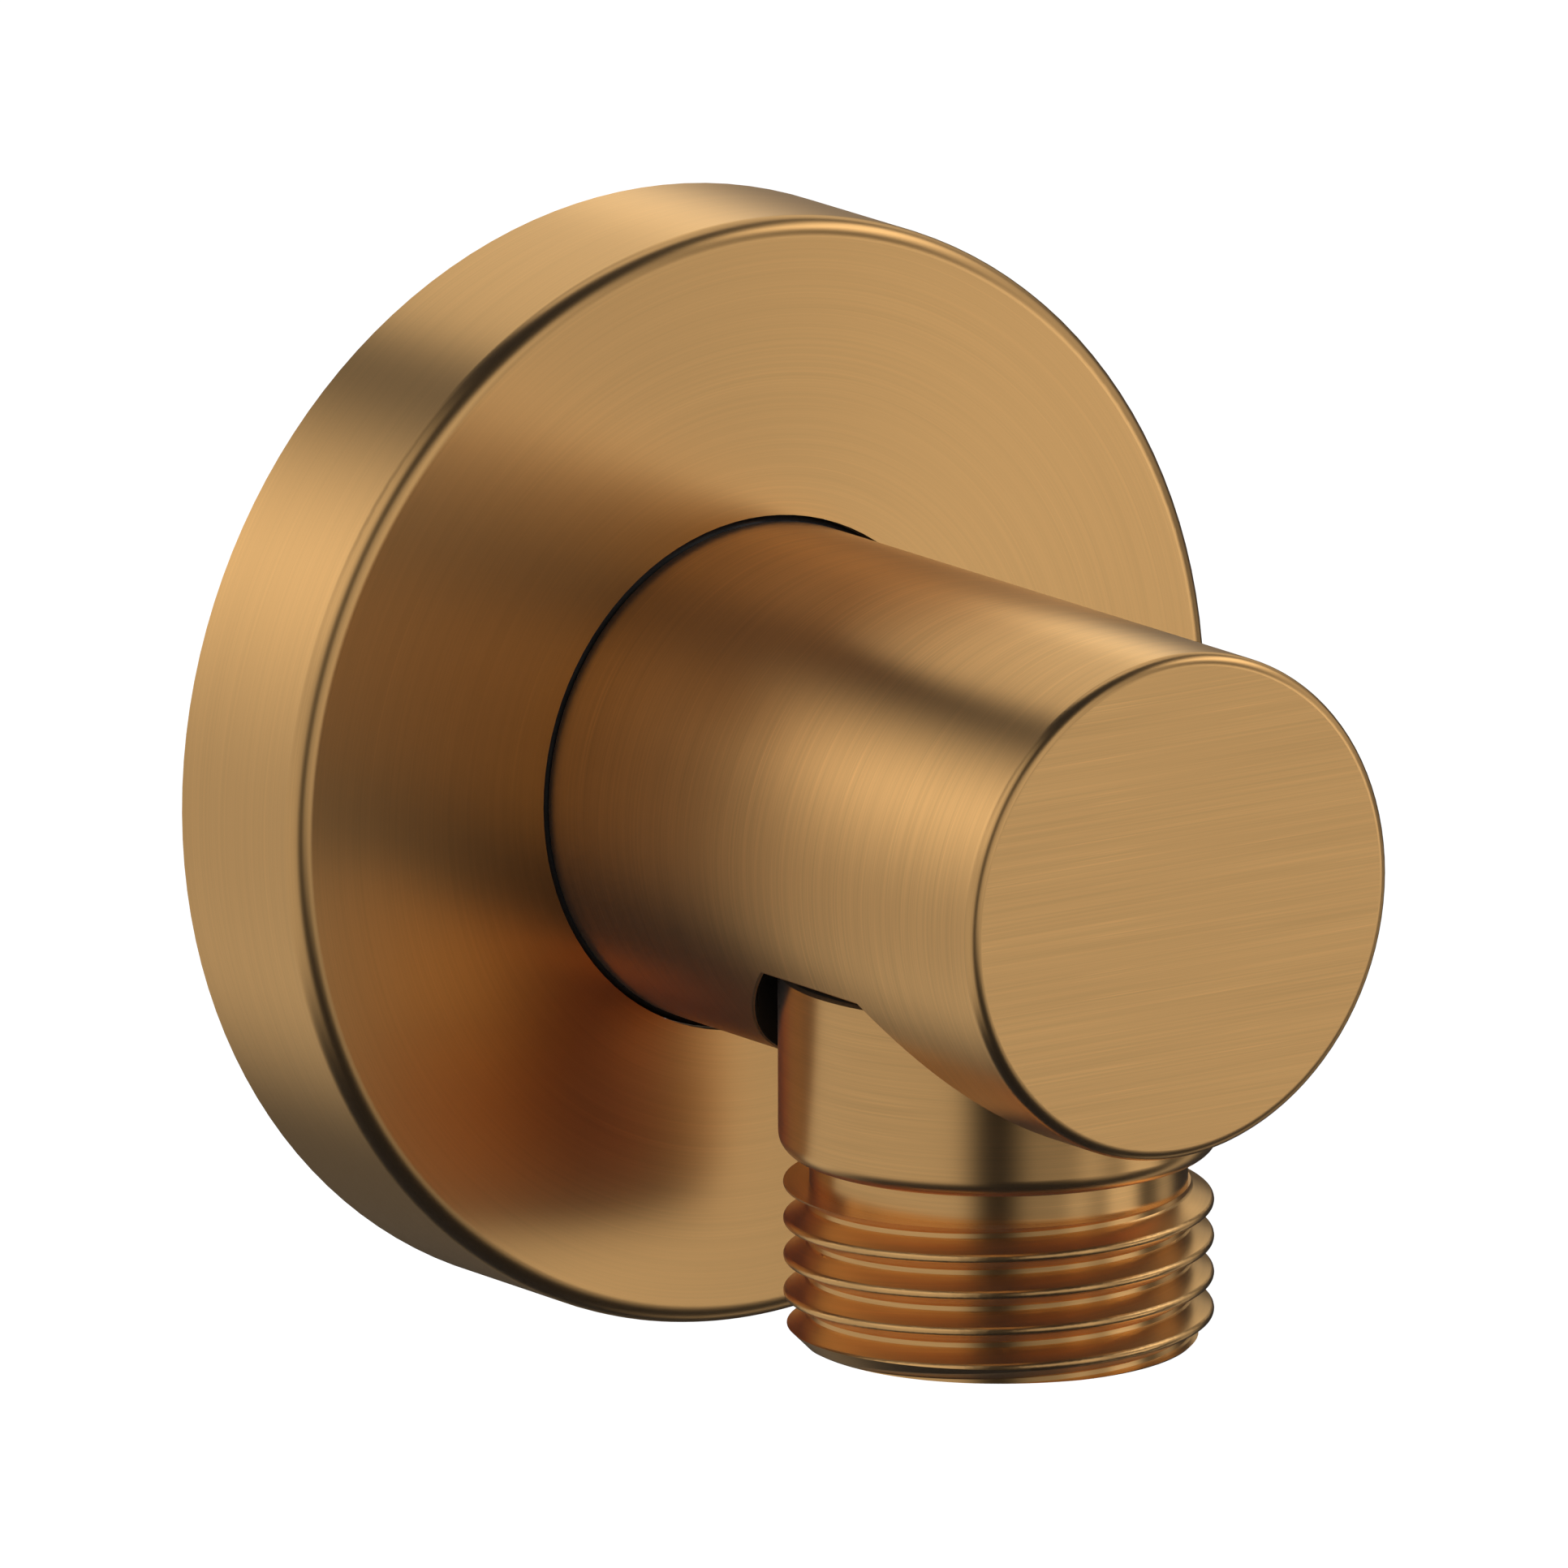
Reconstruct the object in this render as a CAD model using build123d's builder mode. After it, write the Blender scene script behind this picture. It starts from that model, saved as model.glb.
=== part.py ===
from build123d import *
from math import acos, ceil, cos, hypot, isclose, radians, sin
import os

# Wall outlet elbow for a shower hose, in millimetres.
# The origin is the centre of the escutcheon on the wall plane Y = 0. The elbow comes out of the
# wall along -Y, the outlet points down along -Z, and +X is to the right of someone facing it.

# Pipe thread G 1/2, on the wall nipple and on the outlet
thread_diameter = 20.955
thread_pitch = 25.4 / 14
thread_depth = 0.640327 * thread_pitch
thread_rounding = 0.137329 * thread_pitch
flank_angle = 27.5
root_land = 0.03
ridge_burial = 0.3
cut_margin = 1.0

# Escutcheon
escutcheon_diameter = 55.1
escutcheon_depth = 9.65
escutcheon_plate = 1.6
escutcheon_rim = 2.0
escutcheon_edge_rounding = 1.0
escutcheon_hole_gap = 0.32
seal_depth = 2.0
seal_width = 1.7
seal_ledge = 1.2

# Elbow body
body_diameter = 25.0
body_front_wall = 3.25
body_edge_rounding = 0.6
body_wall_gap = 1.0
spigot_bore_diameter = 18.0
spigot_bore_depth = 14.7
grip_ring_section = 1.3
grip_ring_lip = 0.15
passage_diameter = 7.4
passage_height = 4.0

# Outlet
outlet_reach = 29.7
collar_diameter = 21.44
collar_top = 5.79
collar_bottom = 14.9
collar_top_chamfer = 0.15
collar_bottom_rounding = 1.0
recess_diameter = 23.6
recess_gap = 0.48
recess_edge_rounding = 0.12
neck_diameter = 18.42
neck_height = 1.55
hose_thread_length = 7.9
hose_thread_chamfer = 0.98
hose_crest_height = -17.245
shank_thread_diameter = 17.0
shank_thread_length = 3.2
shank_diameter = 15.3
shank_length = 3.0
shank_bore = 10.4
shank_gap = 0.1
screw_thread_gap = 0.05

# Wall nipple
wall_thread_length = 13.6
wall_thread_chamfer = 0.98
nipple_shoulder_gap = 0.5
spigot_front_chamfer = 0.6
spigot_gap = 0.1
spigot_front_gap = 1.0
nipple_bore = 9.8
hex_across_flats = 10.0
hex_depth = 8.0

# Grub screw
screw_station = 4.6
screw_diameter = 5.0
screw_groove_depth = 1.0
screw_groove_floor = 1.6
screw_tip_gap = 0.05
screw_recess = 0.4
screw_hex = 2.5
screw_hex_depth = 2.0

# Round rings: section diameter, and how far a ring stands clear of the walls of its groove
spigot_ring_section = 1.6
spigot_ring_rear = 9.5
spigot_ring_front = 12.9
shank_ring_section = 1.2
valve_ring_section = 1.0
ring_clearance = 0.02
groove_side_play = 0.3

# Non-return valve, pushed into the outlet from below
valve_bore = 14.4
valve_shoulder = 10.3
valve_gap = 0.1
valve_top_gap = 0.2
valve_flange_diameter = 15.8
valve_flange = 0.9
valve_flange_mouth = 1.2
valve_wall = 1.5
valve_seat_hole = 7.2
valve_seat_plate = 1.6
valve_ring_drop = 2.8
guide_diameter = 12.8
guide_ring_wall = 0.9
guide_ring_height = 1.55
guide_hub_diameter = 4.8
guide_hub_height = 4.0
guide_recess = 0.45
guide_gap = 0.05
guide_rib_width = 1.2
guide_ribs = 3
guide_running_gap = 0.07
poppet_head_diameter = 9.4
poppet_head = 1.0
poppet_boss_diameter = 5.2
poppet_cap_diameter = 6.6
poppet_cap = 0.45
poppet_stem_diameter = 2.4
poppet_stem_length = 7.4
poppet_seat_gap = 0.05
poppet_seal_diameter = 8.8
poppet_seal_height = 1.0
spring_wire = 0.4
spring_mean_diameter = 3.7
spring_turns = 5.5

os.makedirs("parts", exist_ok=True)

# Worked out from the sizes above
escutcheon_radius = escutcheon_diameter / 2
body_radius = body_diameter / 2
hole_radius = body_radius + escutcheon_hole_gap
rim_inner_radius = escutcheon_radius - escutcheon_rim
ledge_radius = rim_inner_radius - seal_ledge
collar_radius = collar_diameter / 2
recess_radius = recess_diameter / 2
recess_floor = -(collar_top - recess_gap)
body_length = outlet_reach + recess_radius + body_front_wall
neck_bottom = -(collar_bottom + neck_height)
outlet_end = neck_bottom - hose_thread_length
thread_radius = thread_diameter / 2
root_radius = thread_radius - thread_depth + root_land
spigot_bore_radius = spigot_bore_diameter / 2
spigot_bore_floor = -(body_wall_gap + spigot_bore_depth)
spigot_radius = spigot_bore_radius - spigot_gap
spigot_front = spigot_bore_floor + spigot_front_gap
nipple_shoulder = -(body_wall_gap - nipple_shoulder_gap)
wall_end = nipple_shoulder + wall_thread_length
grip_ring_station = escutcheon_depth - grip_ring_lip - grip_ring_section / 2
screw_groove_radius = spigot_radius - screw_groove_depth
chamber_top = passage_height + passage_diameter / 2
shank_radius = shank_diameter / 2
shank_thread_radius = shank_thread_diameter / 2 - screw_thread_gap
shank_step = -collar_top + shank_thread_length
shank_top = shank_step + shank_length
shank_hole_radius = shank_radius + shank_gap
valve_bore_radius = valve_bore / 2
mouth_step = outlet_end + valve_flange_mouth
housing_radius = valve_bore_radius - valve_gap
housing_inner_radius = housing_radius - valve_wall
housing_top = -(valve_shoulder + valve_top_gap)
housing_bottom = mouth_step - valve_flange
seat_plane = housing_top - valve_seat_plate
guide_bottom = housing_bottom + guide_recess
guide_top = guide_bottom + guide_ring_height
hub_top = guide_bottom + guide_hub_height
seal_top = seat_plane - poppet_seat_gap
head_top = seal_top - poppet_seal_height - ring_clearance
head_bottom = head_top - poppet_head
cap_bottom = seal_top + ring_clearance

outlet_axis = Axis((0, -outlet_reach, 0), (0, 0, 1))
outlet_plane = Plane(origin=(0, -outlet_reach, 0), x_dir=(1, 0, 0), z_dir=(0, -1, 0))


def save(piece, name):
    """Label a finished piece and write it as its own STEP file."""
    piece.part.label = name
    export_step(piece.part, "parts/" + name + ".step")


def thread_section(section_plane):
    """The Whitworth ridge cut across its helix: crest at the plane's origin, foot in the core."""
    crest_centre = -thread_rounding
    root_centre = thread_rounding - thread_depth
    flank = radians(90 - flank_angle)
    foot_angle = acos(1 - root_land / thread_rounding)

    def on_root(angle):
        return root_centre - thread_rounding * cos(angle), thread_pitch / 2 - thread_rounding * sin(angle)

    def mirrored(point):
        return point[0], -point[1]

    shoulder = crest_centre + thread_rounding * cos(flank), thread_rounding * sin(flank)
    flank_foot = on_root(flank)
    arc_point = on_root((flank + foot_angle) / 2)
    foot = on_root(foot_angle)
    buried = foot[0] - ridge_burial, foot[1]
    with BuildSketch(section_plane) as section:
        with BuildLine():
            ThreePointArc(mirrored(shoulder), (0, 0), shoulder)
            Line(shoulder, flank_foot)
            ThreePointArc(flank_foot, arc_point, foot)
            Polyline(foot, buried, mirrored(buried), mirrored(foot))
            ThreePointArc(mirrored(foot), mirrored(arc_point), mirrored(flank_foot))
            Line(mirrored(flank_foot), mirrored(shoulder))
        make_face()
    return section.sketch


def thread_ridge(axis_plane, crest, chamfer, chamfered_end, plain_end):
    """A right-hand thread about the Z axis of a plane, with a crest at that height at azimuth 0.

    It is cut flat at plain_end, and flat with a chamfer at chamfered_end.
    """
    low = min(chamfered_end, plain_end)
    start = crest - ceil((crest - low) / thread_pitch + 0.5) * thread_pitch
    length = max(chamfered_end, plain_end) + thread_pitch - start
    with BuildPart() as ridge:
        with BuildLine():
            path = Helix(thread_pitch, length, thread_radius)
        section = thread_section(Plane(origin=path @ 0, x_dir=(1, 0, 0), z_dir=path % 0))
        sweep(section, path=path, is_frenet=True)
    inside = root_radius - cut_margin
    outside = thread_radius + cut_margin
    chamfer_start = chamfered_end + (chamfer if chamfered_end == low else -chamfer)
    with BuildPart() as thread:
        add(axis_plane.offset(start).location * ridge.part)
        with BuildSketch(Plane(origin=axis_plane.origin, x_dir=axis_plane.x_dir,
                               z_dir=-axis_plane.y_dir)):
            Polygon((inside, chamfered_end), (thread_radius - chamfer, chamfered_end),
                    (thread_radius, chamfer_start), (outside, chamfer_start),
                    (outside, plain_end), (inside, plain_end), align=None)
        revolve(axis=Axis(axis_plane.origin, axis_plane.z_dir), mode=Mode.INTERSECT)
    return thread.part


def round_ring(middle_radius, section_radius, plane):
    """A rubber ring about the Z axis of a plane."""
    with BuildPart() as ring:
        Torus(middle_radius, section_radius)
    return plane.location * ring.part


def groove_floor(wall_radius, section):
    """Radius of a groove's floor that leaves a ring of this section just clear of floor and wall."""
    return wall_radius - section - 2 * ring_clearance


def cut_groove(wall_radius, middle, section):
    """Cut a square ring groove into the outline of a shaft that fits a hole of wall_radius."""
    floor = groove_floor(wall_radius, section)
    half = (section + groove_side_play) / 2
    Polygon((floor, middle - half), (wall_radius, middle - half), (wall_radius, middle + half),
            (floor, middle + half), align=None, mode=Mode.SUBTRACT)


# Escutcheon: a turned cup with a thin front plate and a ledge for the wall seal
plate_back = -(escutcheon_depth - escutcheon_plate)
with BuildPart() as escutcheon:
    with BuildSketch(Plane.XY) as cup:
        Polygon((hole_radius, -escutcheon_depth), (escutcheon_radius, -escutcheon_depth),
                (escutcheon_radius, 0), (rim_inner_radius, 0), (rim_inner_radius, -seal_depth),
                (ledge_radius, -seal_depth), (ledge_radius, plate_back),
                (hole_radius, plate_back), align=None)
        front_corner = cup.vertices().group_by(Axis.Y)[0].sort_by(Axis.X)[-1]
        fillet(front_corner, escutcheon_edge_rounding)
    revolve(axis=Axis.Y)
save(escutcheon, "escutcheon")

# Flat seal inside the escutcheon's rim, flush with the wall
with BuildPart() as escutcheon_wall_seal:
    with BuildSketch(Plane.XY):
        seal_outer = rim_inner_radius - ring_clearance
        seal_front = -(seal_depth - ring_clearance)
        Polygon((seal_outer - seal_width, 0), (seal_outer, 0), (seal_outer, seal_front),
                (seal_outer - seal_width, seal_front), align=None)
    revolve(axis=Axis.Y)
save(escutcheon_wall_seal, "escutcheon_wall_seal")


def lies_on_bar(edge):
    """Whether an edge lies on the round outside of the elbow's body."""
    points = [edge @ share for share in (0, 0.5, 1)]
    return all(isclose(hypot(point.X, point.Z), body_radius, rel_tol=1e-5) for point in points)


# Elbow body: a turned bar, bored from the wall side for the spigot and from below for the outlet
body_back = -body_wall_gap
with BuildPart() as elbow_body:
    with BuildSketch(Plane.XY) as bar:
        Polygon((0, -body_length), (body_radius, -body_length), (body_radius, body_back),
                (spigot_bore_radius, body_back), (spigot_bore_radius, spigot_bore_floor),
                (0, spigot_bore_floor), align=None)
        front_corner = bar.vertices().group_by(Axis.Y)[0].sort_by(Axis.X)[-1]
        fillet(front_corner, body_edge_rounding)
        cut_groove(hole_radius, -grip_ring_station, grip_ring_section)
    revolve(axis=Axis.Y)
    # Water passage from the spigot bore to the chamber above the outlet
    with BuildSketch(Plane.XZ.offset(-spigot_bore_floor)):
        with Locations((0, passage_height)):
            Circle(passage_diameter / 2)
    extrude(amount=outlet_reach + spigot_bore_floor, mode=Mode.SUBTRACT)
    # Chamber, seat and thread hole for the nipple's shank, and the wide flat recess for its collar
    with BuildSketch(outlet_plane):
        thread_hole_radius = shank_thread_diameter / 2
        shank_seat = shank_step + ring_clearance
        below = -(body_radius + cut_margin)
        Polygon((0, chamber_top), (shank_hole_radius, chamber_top), (shank_hole_radius, shank_seat),
                (thread_hole_radius, shank_seat), (thread_hole_radius, recess_floor),
                (recess_radius, recess_floor), (recess_radius, below), (0, below), align=None)
    revolve(axis=outlet_axis, mode=Mode.SUBTRACT)
    recess_edges = edges(Select.LAST).filter_by(lies_on_bar)
    fillet(recess_edges, recess_edge_rounding)
    # Tapped hole for the grub screw, straight up from below
    with BuildSketch(Plane.XY.offset(-body_radius)):
        with Locations((0, -screw_station)):
            Circle(screw_diameter / 2)
    extrude(amount=body_radius - screw_groove_radius, mode=Mode.SUBTRACT)
save(elbow_body, "elbow_body")

with BuildPart() as escutcheon_grip_ring:
    add(round_ring(hole_radius - ring_clearance - grip_ring_section / 2, grip_ring_section / 2,
                   Plane.XZ.offset(grip_ring_station)))
save(escutcheon_grip_ring, "escutcheon_grip_ring")

# Hose nipple: shank in the body, collar in the recess, relief neck and hose thread
shank_ring_middle = (shank_step + shank_top) / 2
with BuildPart() as hose_nipple:
    with BuildSketch(outlet_plane) as nipple_outline:
        neck_radius = neck_diameter / 2
        mouth_radius = valve_flange_diameter / 2 + valve_gap
        Polygon((shank_bore / 2, shank_top), (shank_radius, shank_top), (shank_radius, shank_step),
                (shank_thread_radius, shank_step), (shank_thread_radius, -collar_top),
                (collar_radius - collar_top_chamfer, -collar_top),
                (collar_radius, -collar_top - collar_top_chamfer), (collar_radius, -collar_bottom),
                (neck_radius, -collar_bottom), (neck_radius, neck_bottom),
                (root_radius, neck_bottom), (root_radius, outlet_end), (mouth_radius, outlet_end),
                (mouth_radius, mouth_step), (valve_bore_radius, mouth_step),
                (valve_bore_radius, -valve_shoulder), (shank_bore / 2, -valve_shoulder), align=None)
        collar_corner = nipple_outline.vertices().sort_by_distance((collar_radius, -collar_bottom))[0]
        fillet(collar_corner, collar_bottom_rounding)
        cut_groove(shank_hole_radius, shank_ring_middle, shank_ring_section)
    revolve(axis=outlet_axis)
    add(thread_ridge(Plane(outlet_axis.position), hose_crest_height, hose_thread_chamfer,
                     outlet_end, neck_bottom))
save(hose_nipple, "hose_nipple")

with BuildPart() as hose_nipple_o_ring:
    add(round_ring(shank_hole_radius - ring_clearance - shank_ring_section / 2,
                   shank_ring_section / 2, Plane((0, -outlet_reach, shank_ring_middle))))
save(hose_nipple_o_ring, "hose_nipple_o_ring")

# Wall nipple: pipe thread into the wall, smooth spigot into the body, hexagon socket in front
wall_plane = Plane(origin=(0, 0, 0), x_dir=(1, 0, 0), z_dir=(0, 1, 0))
screw_groove_half = screw_groove_floor / 2
with BuildPart() as wall_nipple:
    with BuildSketch(Plane.XY) as nipple_half:
        Polygon((nipple_bore / 2, wall_end), (root_radius, wall_end), (root_radius, nipple_shoulder),
                (spigot_radius, nipple_shoulder), (spigot_radius, spigot_front),
                (nipple_bore / 2, spigot_front), align=None)
        front_corner = nipple_half.vertices().group_by(Axis.Y)[0].sort_by(Axis.X)[-1]
        chamfer(front_corner, spigot_front_chamfer)
        Polygon((screw_groove_radius, -screw_station - screw_groove_half),
                (screw_groove_radius, -screw_station + screw_groove_half),
                (spigot_radius, -screw_station + screw_groove_half + screw_groove_depth),
                (spigot_radius, -screw_station - screw_groove_half - screw_groove_depth),
                align=None, mode=Mode.SUBTRACT)
        for station in (spigot_ring_rear, spigot_ring_front):
            cut_groove(spigot_bore_radius, -station, spigot_ring_section)
    revolve(axis=Axis.Y)
    add(thread_ridge(wall_plane, nipple_shoulder, wall_thread_chamfer, wall_end, nipple_shoulder))
    with BuildSketch(Plane.XZ.offset(-spigot_front)):
        RegularPolygon(hex_across_flats / 2, 6, major_radius=False)
    extrude(amount=-hex_depth, mode=Mode.SUBTRACT)
save(wall_nipple, "wall_nipple")

for place, station in (("rear", spigot_ring_rear), ("front", spigot_ring_front)):
    with BuildPart() as spigot_o_ring:
        add(round_ring(spigot_bore_radius - ring_clearance - spigot_ring_section / 2,
                       spigot_ring_section / 2, Plane.XZ.offset(station)))
    save(spigot_o_ring, "spigot_o_ring_" + place)

# Grub screw: points up, its blunt cone stands in the spigot's groove
screw_radius = screw_diameter / 2 - screw_thread_gap
screw_tip = -(screw_groove_radius + screw_tip_gap)
screw_end = -(body_radius - screw_recess)
tip_radius = screw_groove_half - screw_tip_gap
screw_cone = screw_radius - tip_radius
screw_plane = Plane(origin=(0, -screw_station, 0), x_dir=(1, 0, 0), z_dir=(0, -1, 0))
with BuildPart() as grub_screw:
    with BuildSketch(screw_plane):
        Polygon((0, screw_tip), (tip_radius, screw_tip), (screw_radius, screw_tip - screw_cone),
                (screw_radius, screw_end), (0, screw_end), align=None)
    revolve(axis=Axis((0, -screw_station, 0), (0, 0, 1)))
    with BuildSketch(Plane((0, -screw_station, screw_end))):
        RegularPolygon(screw_hex / 2, 6, major_radius=False)
    extrude(amount=screw_hex_depth, mode=Mode.SUBTRACT)
save(grub_screw, "grub_screw")

# Non-return valve: housing with the seat at its top and a flange in the outlet's mouth
valve_ring_middle = housing_top - valve_ring_drop
with BuildPart() as valve_housing:
    with BuildSketch(outlet_plane):
        flange_top = mouth_step - ring_clearance
        guide_seat_radius = guide_diameter / 2 + guide_gap
        guide_seat = guide_top + ring_clearance
        Polygon((valve_seat_hole / 2, housing_top), (housing_radius, housing_top),
                (housing_radius, flange_top), (valve_flange_diameter / 2, flange_top),
                (valve_flange_diameter / 2, housing_bottom), (guide_seat_radius, housing_bottom),
                (guide_seat_radius, guide_seat), (housing_inner_radius, guide_seat),
                (housing_inner_radius, seat_plane), (valve_seat_hole / 2, seat_plane), align=None)
        cut_groove(valve_bore_radius, valve_ring_middle, valve_ring_section)
    revolve(axis=outlet_axis)
save(valve_housing, "valve_housing")

with BuildPart() as valve_o_ring:
    add(round_ring(valve_bore_radius - ring_clearance - valve_ring_section / 2,
                   valve_ring_section / 2, Plane((0, -outlet_reach, valve_ring_middle))))
save(valve_o_ring, "valve_o_ring")

# Guide: a ring snapped into the housing, with ribs that carry the hub for the poppet's stem
stem_radius = poppet_stem_diameter / 2
with BuildPart() as valve_guide:
    with BuildSketch(Plane((0, -outlet_reach, guide_bottom))):
        Circle(guide_diameter / 2)
        Circle(guide_diameter / 2 - guide_ring_wall, mode=Mode.SUBTRACT)
        with PolarLocations(0, guide_ribs):
            Rectangle(guide_diameter / 2 - guide_ring_wall / 2, guide_rib_width,
                      align=(Align.MIN, Align.CENTER))
    extrude(amount=guide_ring_height)
    with BuildSketch(Plane((0, -outlet_reach, guide_bottom))):
        Circle(guide_hub_diameter / 2)
    extrude(amount=guide_hub_height)
    with BuildSketch(Plane((0, -outlet_reach, guide_bottom))):
        Circle(stem_radius + guide_running_gap)
    extrude(amount=guide_hub_height, mode=Mode.SUBTRACT)
save(valve_guide, "valve_guide")

# Poppet: cap, boss and head turned in one with its stem
with BuildPart() as valve_poppet:
    with BuildSketch(outlet_plane):
        boss_radius = poppet_boss_diameter / 2
        cap_radius = poppet_cap_diameter / 2
        cap_top = cap_bottom + poppet_cap
        stem_end = head_bottom - poppet_stem_length
        Polygon((0, cap_top), (cap_radius, cap_top), (cap_radius, cap_bottom),
                (boss_radius, cap_bottom), (boss_radius, head_top),
                (poppet_head_diameter / 2, head_top), (poppet_head_diameter / 2, head_bottom),
                (stem_radius, head_bottom), (stem_radius, stem_end), (0, stem_end), align=None)
    revolve(axis=outlet_axis)
save(valve_poppet, "valve_poppet")

with BuildPart() as valve_poppet_seal:
    with BuildSketch(Plane((0, -outlet_reach, seal_top - poppet_seal_height))):
        Circle(poppet_seal_diameter / 2)
        Circle(poppet_boss_diameter / 2 + ring_clearance, mode=Mode.SUBTRACT)
    extrude(amount=poppet_seal_height)
save(valve_poppet_seal, "valve_poppet_seal")

# Return spring between the hub and the poppet's head
spring_bottom = hub_top + spring_wire / 2 + ring_clearance
spring_height = head_bottom - hub_top - spring_wire - 2 * ring_clearance
with BuildPart() as valve_spring:
    with BuildLine():
        coil = Helix(spring_height / spring_turns, spring_height, spring_mean_diameter / 2,
                     center=(0, -outlet_reach, spring_bottom))
    with BuildSketch(Plane(origin=coil @ 0, x_dir=(1, 0, 0), z_dir=coil % 0)):
        Circle(spring_wire / 2)
    sweep(path=coil, is_frenet=True)
save(valve_spring, "valve_spring")
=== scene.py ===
import math

import bpy
from mathutils import Matrix, Vector


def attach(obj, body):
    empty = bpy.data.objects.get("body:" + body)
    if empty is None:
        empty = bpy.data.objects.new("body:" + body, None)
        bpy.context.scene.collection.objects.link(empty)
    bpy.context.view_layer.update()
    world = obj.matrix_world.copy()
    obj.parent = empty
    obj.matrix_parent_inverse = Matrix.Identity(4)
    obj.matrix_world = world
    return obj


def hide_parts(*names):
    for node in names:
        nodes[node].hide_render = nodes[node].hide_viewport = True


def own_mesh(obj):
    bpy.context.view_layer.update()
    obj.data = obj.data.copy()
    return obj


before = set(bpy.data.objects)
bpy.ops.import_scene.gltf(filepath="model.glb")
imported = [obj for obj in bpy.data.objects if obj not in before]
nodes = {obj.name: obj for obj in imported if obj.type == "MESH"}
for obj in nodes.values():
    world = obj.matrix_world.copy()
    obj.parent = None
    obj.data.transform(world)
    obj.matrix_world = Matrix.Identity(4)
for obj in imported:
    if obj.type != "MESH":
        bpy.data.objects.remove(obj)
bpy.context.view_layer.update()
scene = bpy.context.scene

# Sizes of the CAD part that the materials follow

MM = 0.001
TOLERANCE = 0.01 * MM
OUTLET_REACH = 29.7 * MM
BODY_LENGTH = 44.75 * MM
FLAT_END_RADIUS = 11.9 * MM
RECESS_RADIUS = 11.8 * MM
RECESS_FLOOR = -5.31 * MM
WALL_CENTRE = (0.0, 0.0, 0.0)
OUTLET_CENTRE = (0.0, -OUTLET_REACH, 0.0)
X_AXIS = (1.0, 0.0, 0.0)
Y_AXIS = (0.0, 1.0, 0.0)
Z_AXIS = (0.0, 0.0, 1.0)

# Rounded outer corners: radius and height about the piece's own axis, and size of the rounding

ESCUTCHEON_CORNER = (27.55 * MM, -9.65 * MM, 1.0 * MM)
BODY_CORNER = (12.5 * MM, -BODY_LENGTH, 0.6 * MM)
COLLAR_CORNER = (10.72 * MM, -14.9 * MM, 1.0 * MM)

WHITE = (1.0, 1.0, 1.0, 1.0)


# Shader node helpers

class Graph:
    """Adds shader nodes to one node tree, with sockets or plain values as inputs."""

    def __init__(self, tree):
        self.tree = tree
        tree.nodes.clear()

    def node(self, kind, inputs=None, **settings):
        made = self.tree.nodes.new(kind)
        for name, value in settings.items():
            setattr(made, name, value)
        for name, value in (inputs or {}).items():
            self.feed(made.inputs[name], value)
        return made

    def feed(self, socket, value):
        if isinstance(value, bpy.types.NodeSocket):
            self.tree.links.new(value, socket)
        else:
            socket.default_value = value

    def math(self, operation, *values):
        made = self.node("ShaderNodeMath", operation=operation)
        for socket, value in zip(made.inputs, values):
            self.feed(socket, value)
        return made.outputs[0]

    def vector(self, operation, *values):
        made = self.node("ShaderNodeVectorMath", operation=operation)
        for socket, value in zip(made.inputs, values):
            self.feed(socket, value)
        return made.outputs["Value" if operation in ("DOT_PRODUCT", "LENGTH") else "Vector"]

    def scaled(self, vector, factor):
        made = self.node("ShaderNodeVectorMath", {"Vector": vector, "Scale": factor}, operation="SCALE")
        return made.outputs["Vector"]

    def split(self, vector):
        made = self.node("ShaderNodeSeparateXYZ", {0: vector})
        return made.outputs[0], made.outputs[1], made.outputs[2]

    def ramp(self, value, low, high, to_low=0.0, to_high=1.0):
        made = self.node("ShaderNodeMapRange", {0: value, 1: low, 2: high, 3: to_low, 4: to_high},
                         interpolation_type="SMOOTHSTEP")
        return made.outputs[0]

    def mix(self, factor, first, second):
        made = self.node("ShaderNodeMix", data_type="VECTOR")
        self.feed(made.inputs[0], factor)
        self.feed(made.inputs[4], first)
        self.feed(made.inputs[5], second)
        return made.outputs[1]

    def mix_value(self, factor, first, second):
        made = self.node("ShaderNodeMix", data_type="FLOAT")
        self.feed(made.inputs[0], factor)
        self.feed(made.inputs[2], first)
        self.feed(made.inputs[3], second)
        return made.outputs[0]

    def noise(self, vector, detail=2.0, roughness=0.5):
        made = self.node("ShaderNodeTexNoise", {"Vector": vector, "Scale": 1.0, "Detail": detail,
                                                "Roughness": roughness})
        return made.outputs[0]


def new_material(name):
    material = bpy.data.materials.new(name)
    material.use_nodes = True
    return material, Graph(material.node_tree)


# Camera

def add_camera():
    """Place the camera that was solved from the photograph's outlines."""
    azimuth = math.radians(-35.659)
    elevation = math.radians(13.370)
    roll = math.radians(-0.113)
    place = (-1.242445, -1.743537, 0.506423)
    camera_data = bpy.data.cameras.new("camera")
    camera_data.lens = 1030.4
    camera_data.sensor_width = 36.0
    camera_data.clip_start = 0.1
    camera_data.clip_end = 50.0
    camera = bpy.data.objects.new("camera", camera_data)
    scene.collection.objects.link(camera)
    scene.camera = camera
    back = Vector((math.sin(azimuth) * math.cos(elevation),
                   -math.cos(azimuth) * math.cos(elevation),
                   math.sin(elevation)))
    right = (-back).cross(Vector(Z_AXIS)).normalized()
    up = right.cross(-back)
    rolled_right = math.cos(roll) * right + math.sin(roll) * up
    rolled_up = math.cos(roll) * up - math.sin(roll) * right
    camera.location = place
    camera.rotation_euler = Matrix((rolled_right, rolled_up, back)).transposed().to_euler()


add_camera()


# World: white to the camera, a studio of soft boxes to the object

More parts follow.
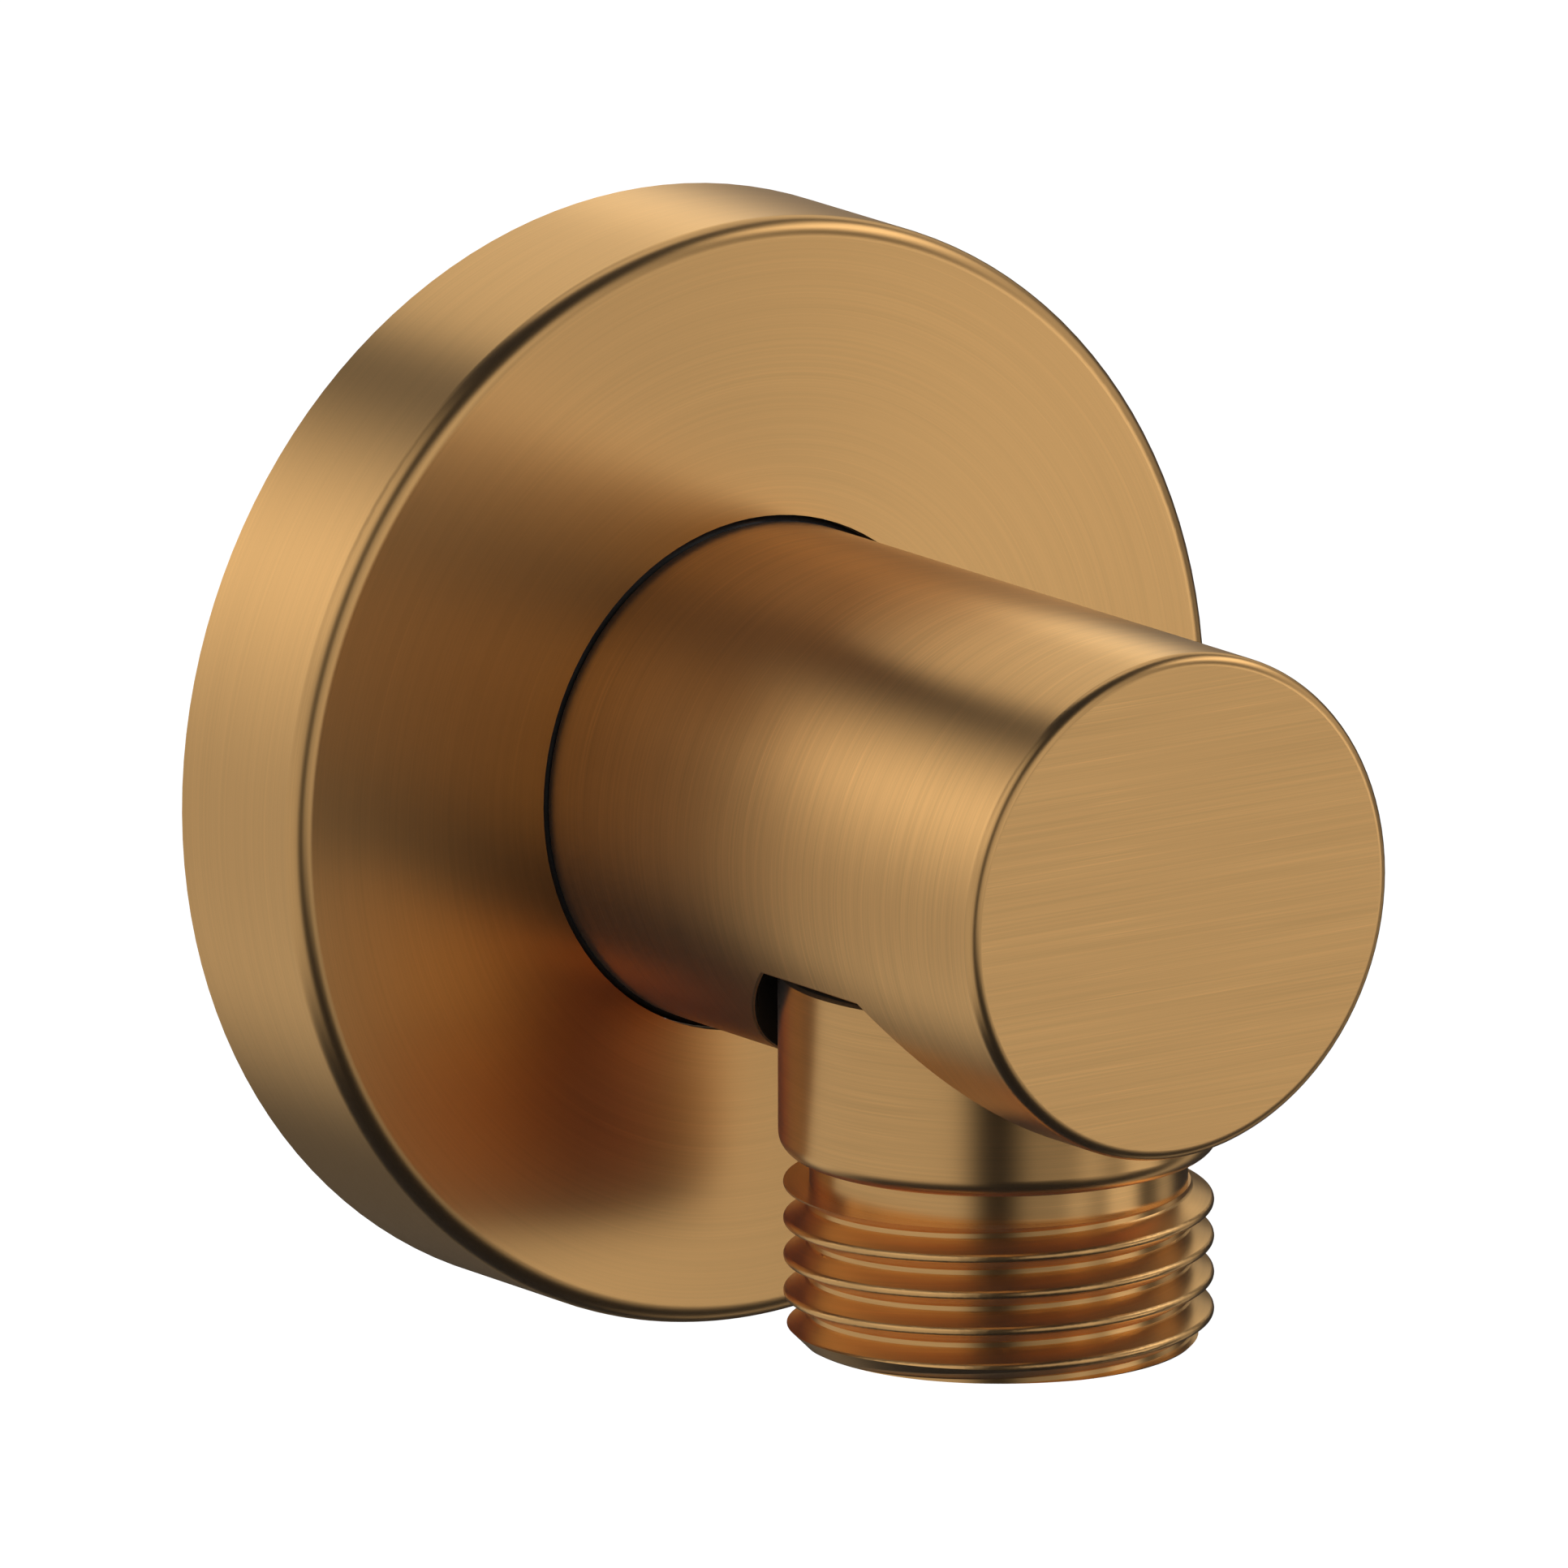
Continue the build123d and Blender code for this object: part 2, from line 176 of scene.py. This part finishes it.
def add_studio():
    """Light the object from soft boxes all round it, and show the camera plain white.

    A box's place and half sizes are in degrees, with azimuth counted from +X toward +Y. Left, right
    and behind are as someone facing the wall sees them. All boxes but the last were fitted to the
    photograph's tones by another program and rounded, and some were then changed a little.
    """
    world = bpy.data.worlds.new("studio")
    scene.world = world
    world.use_nodes = True
    sky = Graph(world.node_tree)
    x, y, z = sky.split(sky.node("ShaderNodeTexCoord").outputs["Generated"])
    azimuth = sky.math("DEGREES", sky.math("ARCTAN2", y, x))
    elevation = sky.math("DEGREES", sky.math("ARCSINE", z))

    def soft_box(box_azimuth, box_elevation, half_width, half_height, edge, strength):
        turn = sky.math("WRAP", sky.math("SUBTRACT", azimuth, box_azimuth), 180.0, -180.0)
        lift = sky.math("SUBTRACT", elevation, box_elevation)
        across = sky.ramp(sky.math("ABSOLUTE", turn), half_width - edge, half_width + edge, 1.0, 0.0)
        along = sky.ramp(sky.math("ABSOLUTE", lift), half_height - edge, half_height + edge, 1.0, 0.0)
        return sky.math("MULTIPLY", sky.math("MULTIPLY", across, along), strength)

    boxes = [
        soft_box(157, -5, 61, 34, 10, 0.49),    # wide wall on the left
        soft_box(-178, 40, 34, 16, 13, 0.70),   # high window on the left
        soft_box(122, 26, 7, 19, 17, 1.10),     # tall lamp behind, left
        soft_box(-67, 3, 15, 35, 6, 0.30),      # tall panel in front, right
        soft_box(-44, -8, 11, 8, 4, 1.25),      # small lamp in front, right
        soft_box(-92, 6, 22, 21, 9, 0.50),      # broad panel straight in front
        soft_box(-26, 36, 24, 8, 10, 1.65),     # long lamp, high on the right
        soft_box(-16, 17, 22, 18, 7, 0.50),     # broad panel on the right
        soft_box(53, 67, 43, 11, 8, 0.75),      # long ceiling panel
        soft_box(38, 40, 16, 15, 6, 0.60),      # high window behind, right
        soft_box(72, 19, 19, 29, 3, 0.80),      # tall panel behind, right
        soft_box(38, 20, 21, 10, 5, 0.45),      # low wall behind, right
        soft_box(-4, -37, 8, 30, 9, 0.50),      # strip of pale ground on the right
        soft_box(90, -38, 40, 12, 10, 0.10),    # dim ground behind
    ]
    dark_room = 0.008
    light = dark_room
    for box in boxes:
        light = sky.math("ADD", light, box)
    lit = sky.node("ShaderNodeBackground", {"Color": WHITE, "Strength": light})
    plain = sky.node("ShaderNodeBackground", {"Color": WHITE, "Strength": 1.0})
    seen = sky.node("ShaderNodeLightPath").outputs["Is Camera Ray"]
    both = sky.node("ShaderNodeMixShader", {0: seen, 1: lit.outputs[0], 2: plain.outputs[0]})
    sky.node("ShaderNodeOutputWorld", {0: both.outputs[0]})


add_studio()
scene.view_settings.view_transform = "Standard"


# Floor, pale and well below the outlet

def pale_floor():
    """Add a floor that is white to the camera, takes the object's shadow and is clear from below."""
    height = -0.25
    half = 6.0
    paleness = 0.8
    camera_glow = 0.8
    mesh = bpy.data.meshes.new("floor")
    corners = [(-half, -half, height), (half, -half, height), (half, half, height), (-half, half, height)]
    mesh.from_pydata(corners, [], [(0, 1, 2, 3)])
    floor = bpy.data.objects.new("floor", mesh)
    scene.collection.objects.link(floor)
    floor.visible_glossy = False
    material, graph = new_material("floor")
    diffuse = graph.node("ShaderNodeBsdfDiffuse", {"Color": (paleness, paleness, paleness, 1.0)})
    seen = graph.node("ShaderNodeLightPath").outputs["Is Camera Ray"]
    strength = graph.math("MULTIPLY", seen, camera_glow)
    glow = graph.node("ShaderNodeEmission", {"Color": WHITE, "Strength": strength})
    lit = graph.node("ShaderNodeAddShader", {0: diffuse.outputs[0], 1: glow.outputs[0]})
    below = graph.node("ShaderNodeBsdfTransparent")
    is_below = graph.node("ShaderNodeNewGeometry").outputs["Backfacing"]
    one_sided = graph.node("ShaderNodeMixShader", {0: is_below, 1: lit.outputs[0], 2: below.outputs[0]})
    graph.node("ShaderNodeOutputMaterial", {"Surface": one_sided.outputs[0]})
    mesh.materials.append(material)


# Brushed bronze of the pieces in sight

BRONZE = (0.82, 0.472, 0.178)
EDGE_TINT = (1.0, 0.93, 0.74)
ROUGHNESS = 0.28
ANISOTROPY = 0.55
HAZE = 0.08
HAZE_ROUGHNESS = 0.8


def turned_lines(graph, position, centre, axis):
    """Outward direction and groove direction of a surface turned about an axis, with its measures."""
    from_centre = graph.vector("SUBTRACT", position, centre)
    height = graph.vector("DOT_PRODUCT", from_centre, axis)
    radial = graph.vector("SUBTRACT", from_centre, graph.scaled(axis, height))
    radius = graph.vector("LENGTH", radial)
    outward = graph.vector("NORMALIZE", radial)
    groove = graph.vector("CROSS_PRODUCT", axis, outward)
    return outward, groove, radius, height


def inside_recess(graph, position):
    """One on the walls and floor of the recess in which the outlet's collar stands, zero elsewhere."""
    from_outlet = graph.vector("SUBTRACT", position, OUTLET_CENTRE)
    aside, ahead, height = graph.split(from_outlet)
    reach = graph.math("SQRT", graph.math("ADD", graph.math("MULTIPLY", aside, aside),
                                          graph.math("MULTIPLY", ahead, ahead)))
    within = graph.math("LESS_THAN", reach, RECESS_RADIUS + 2.0 * TOLERANCE)
    below_floor = graph.math("LESS_THAN", height, RECESS_FLOOR + TOLERANCE)
    return graph.math("MULTIPLY", within, below_floor)


def line_point(graph, outward, axis, across, turns, width):
    """Noise point that changes slowly along a turned groove and once every line width across it."""
    return graph.vector("ADD", graph.scaled(outward, turns),
                        graph.scaled(axis, graph.math("DIVIDE", across, width)))


def rounded_normal(graph, normal, outward, axis, radius, height, corner):
    """The normal, made exact where a turned outer corner is rounded.

    The corner gives its radius and height, both to where the rounding ends, and the rounding's size.
    """
    corner_radius, corner_height, size = corner
    aside = graph.math("SUBTRACT", radius, corner_radius - size)
    ahead = graph.math("SUBTRACT", height, corner_height + size)
    past_centre = graph.math("GREATER_THAN", aside, 0.0)
    before_centre = graph.math("LESS_THAN", ahead, 0.0)
    within = graph.math("GREATER_THAN", ahead, -size - TOLERANCE)
    inside = graph.math("MULTIPLY", graph.math("MULTIPLY", past_centre, before_centre), within)
    exact = graph.vector("ADD", graph.scaled(outward, aside), graph.scaled(axis, ahead))
    return graph.mix(inside, normal, graph.vector("NORMALIZE", exact))


def brushed_bronze(name, centre, axis, corner, line_contrast=1.0, is_body=False):
    """Slightly hazy metal brushed with fine long grooves about an axis, with one rounded outer corner.

    The lines come in three widths, each with its share of the contrast, and with a few brighter ones.
    The body is brushed along X on its end face, and has painted shade in the recess of the outlet, where
    its colour and edge tint are darkened.
    """
    line_widths = ((0.07 * MM, 0.15), (0.16 * MM, 0.15), (0.50 * MM, 0.09))
    streak_turns = 1.3
    streak_length = 16.0 * MM
    glint_width = 0.08 * MM
    glint_length = 8.0 * MM
    glint = 0.10
    glint_starts = 0.64
    glint_full = 0.84
    # Painted shade: the share of the body's colour and edge tint that is left in the outlet's recess
    recess_shade = 0.06
    material, graph = new_material(name)
    position = graph.node("ShaderNodeTexCoord").outputs["Object"]
    normal = graph.node("ShaderNodeNewGeometry").outputs["Normal"]
    outward, groove, radius, height = turned_lines(graph, position, centre, axis)
    normal = rounded_normal(graph, normal, outward, axis, radius, height, corner)
    across = graph.math("ADD", radius, height)
    end_face = None
    if is_body:
        end_plane = graph.math("LESS_THAN", height, -BODY_LENGTH + TOLERANCE)
        end_face = graph.math("MULTIPLY", end_plane, graph.math("LESS_THAN", radius, FLAT_END_RADIUS))
        groove = graph.mix(end_face, groove, X_AXIS)

    def lines(width, length):
        point = line_point(graph, outward, axis, across, streak_turns, width)
        if is_body:
            straight = graph.vector("MULTIPLY", position, (1.0 / length, 0.0, 1.0 / width))
            point = graph.mix(end_face, point, straight)
        return graph.noise(point, detail=0.0)

    tone = 1.0
    for width, contrast in line_widths:
        line = graph.math("SUBTRACT", lines(width, streak_length), 0.5)
        tone = graph.math("MULTIPLY_ADD", line, contrast * line_contrast, tone)
    sparse = graph.ramp(lines(glint_width, glint_length), glint_starts, glint_full)
    tone = graph.math("MULTIPLY_ADD", sparse, glint * line_contrast, tone)
    edge_tint = (*EDGE_TINT, 1.0)
    # Painted shade: in the outlet's recess, where shade falls, the body's colour and edge tint are
    # darkened
    if is_body:
        shade = graph.mix_value(inside_recess(graph, position), 1.0, recess_shade)
        tone = graph.math("MULTIPLY", tone, shade)
        edge_tint = graph.scaled(EDGE_TINT, shade)
    tangent = graph.vector("NORMALIZE", graph.vector("CROSS_PRODUCT", normal, groove))
    metal = graph.node("ShaderNodeBsdfPrincipled", {
        "Base Color": graph.scaled(BRONZE, tone), "Metallic": 1.0, "Roughness": ROUGHNESS,
        "Anisotropic": ANISOTROPY, "Tangent": tangent, "Normal": normal,
        "Specular Tint": edge_tint, "Sheen Weight": HAZE, "Sheen Roughness": HAZE_ROUGHNESS})
    graph.node("ShaderNodeOutputMaterial", {"Surface": metal.outputs[0]})
    return material


def finish_node(name, material):
    """Give every material slot of a node the same finish."""
    mesh = nodes[name].data
    if not mesh.materials:
        mesh.materials.append(material)
    for index in range(len(mesh.materials)):
        mesh.materials[index] = material


finish_node("escutcheon", brushed_bronze("brushed_bronze_escutcheon", WALL_CENTRE, Y_AXIS,
                                         ESCUTCHEON_CORNER, line_contrast=0.45))
finish_node("elbow_body", brushed_bronze("brushed_bronze_body", WALL_CENTRE, Y_AXIS,
                                         BODY_CORNER, is_body=True))
finish_node("hose_nipple", brushed_bronze("brushed_bronze_outlet", OUTLET_CENTRE, Z_AXIS,
                                          COLLAR_CORNER, line_contrast=0.8))


# Hidden pieces: plain brass, steel, rubber rings and the moulded valve

def turned_metal(name, colour, roughness, centre, axis):
    """Plain machined metal with the fine feed lines of the lathe and a little tarnish."""
    feed = 0.16 * MM
    feed_turns = 0.8
    feed_depth = 0.002 * MM
    feed_contrast = 0.12
    tarnish_patch = 3.0 * MM
    tarnish_roughness = 0.06
    material, graph = new_material(name)
    position = graph.node("ShaderNodeTexCoord").outputs["Object"]
    normal = graph.node("ShaderNodeNewGeometry").outputs["Normal"]
    outward, groove, radius, height = turned_lines(graph, position, centre, axis)
    across = graph.math("ADD", radius, height)
    lines = graph.noise(line_point(graph, outward, axis, across, feed_turns, feed), detail=2.0)
    tarnish = graph.noise(graph.scaled(position, 1.0 / tarnish_patch), detail=4.0, roughness=0.6)
    line_tone = graph.math("MULTIPLY", graph.math("SUBTRACT", lines, 0.5), feed_contrast)
    tone = graph.math("ADD", graph.ramp(tarnish, 0.3, 0.7, 0.86, 1.04), line_tone)
    bumped = graph.node("ShaderNodeBump", {"Strength": 1.0, "Distance": feed_depth, "Height": lines})
    tangent = graph.vector("NORMALIZE", graph.vector("CROSS_PRODUCT", normal, groove))
    metal = graph.node("ShaderNodeBsdfPrincipled", {
        "Base Color": graph.scaled(colour, tone), "Metallic": 1.0, "Anisotropic": 0.6,
        "Roughness": graph.ramp(tarnish, 0.3, 0.7, roughness + tarnish_roughness, roughness),
        "Tangent": tangent, "Normal": bumped.outputs[0]})
    graph.node("ShaderNodeOutputMaterial", {"Surface": metal.outputs[0]})
    return material


def rubber_material():
    """Matt black rubber with a fine grain and a dusting of grease."""
    black = (0.022, 0.022, 0.023)
    grain_width = 0.08 * MM
    grain_depth = 0.01 * MM
    smear_width = 2.0 * MM
    material, graph = new_material("black_rubber")
    position = graph.node("ShaderNodeTexCoord").outputs["Object"]
    grain = graph.noise(graph.scaled(position, 1.0 / grain_width), detail=3.0, roughness=0.7)
    smear = graph.noise(graph.scaled(position, 1.0 / smear_width), detail=3.0)
    bumped = graph.node("ShaderNodeBump", {"Strength": 0.4, "Distance": grain_depth, "Height": grain})
    rubber = graph.node("ShaderNodeBsdfPrincipled", {
        "Base Color": graph.scaled(black, graph.ramp(grain, 0.3, 0.7, 0.75, 1.3)),
        "Roughness": graph.ramp(smear, 0.35, 0.65, 0.42, 0.68), "Normal": bumped.outputs[0]})
    graph.node("ShaderNodeOutputMaterial", {"Surface": rubber.outputs[0]})
    return material


def plastic_material():
    """Off-white moulded plastic: slightly mottled, with the fine texture of its mould."""
    off_white = (0.80, 0.79, 0.75)
    texture_width = 0.12 * MM
    texture_depth = 0.006 * MM
    mottle_width = 2.5 * MM
    light_depth = (0.6 * MM, 0.5 * MM, 0.4 * MM)
    material, graph = new_material("off_white_plastic")
    position = graph.node("ShaderNodeTexCoord").outputs["Object"]
    texture = graph.noise(graph.scaled(position, 1.0 / texture_width), detail=2.0)
    mottle = graph.noise(graph.scaled(position, 1.0 / mottle_width), detail=3.0)
    bumped = graph.node("ShaderNodeBump", {"Strength": 0.35, "Distance": texture_depth,
                                           "Height": texture})
    plastic = graph.node("ShaderNodeBsdfPrincipled", {
        "Base Color": graph.scaled(off_white, graph.ramp(mottle, 0.3, 0.7, 0.95, 1.03)),
        "Roughness": graph.ramp(texture, 0.3, 0.7, 0.36, 0.46), "Specular IOR Level": 0.5,
        "Subsurface Weight": 0.15, "Subsurface Radius": light_depth,
        "Subsurface Scale": 1.0, "Normal": bumped.outputs[0]})
    graph.node("ShaderNodeOutputMaterial", {"Surface": plastic.outputs[0]})
    return material


BRASS = (0.76, 0.55, 0.25)
STEEL = (0.58, 0.57, 0.55)
SCREW_CENTRE = (0.0, -4.6 * MM, 0.0)
rubber = rubber_material()
plastic = plastic_material()
finish_node("wall_nipple", turned_metal("turned_brass", BRASS, 0.28, WALL_CENTRE, Y_AXIS))
finish_node("grub_screw", turned_metal("turned_steel", STEEL, 0.30, SCREW_CENTRE, Z_AXIS))
for ring in ("escutcheon_wall_seal", "escutcheon_grip_ring", "spigot_o_ring_rear", "spigot_o_ring_front",
             "hose_nipple_o_ring", "valve_o_ring", "valve_poppet_seal"):
    finish_node(ring, rubber)
for moulded in ("valve_housing", "valve_guide", "valve_poppet"):
    finish_node(moulded, plastic)


# Return spring, which has its foot on the guide's hub, copied in place on the fixed body

def return_spring(material):
    """Add a copy of the spring's own mesh in its place, on the fixed body, with mesh data of its own."""
    node = nodes["valve_spring"]
    coil = bpy.data.objects.new("return_spring", node.data.copy())
    scene.collection.objects.link(coil)
    coil.matrix_world = node.matrix_world
    coil.data.materials.clear()
    coil.data.materials.append(material)
    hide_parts("valve_spring")
    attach(coil, "fixed")
    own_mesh(coil)


return_spring(turned_metal("drawn_steel", STEEL, 0.25, OUTLET_CENTRE, Z_AXIS))

pale_floor()
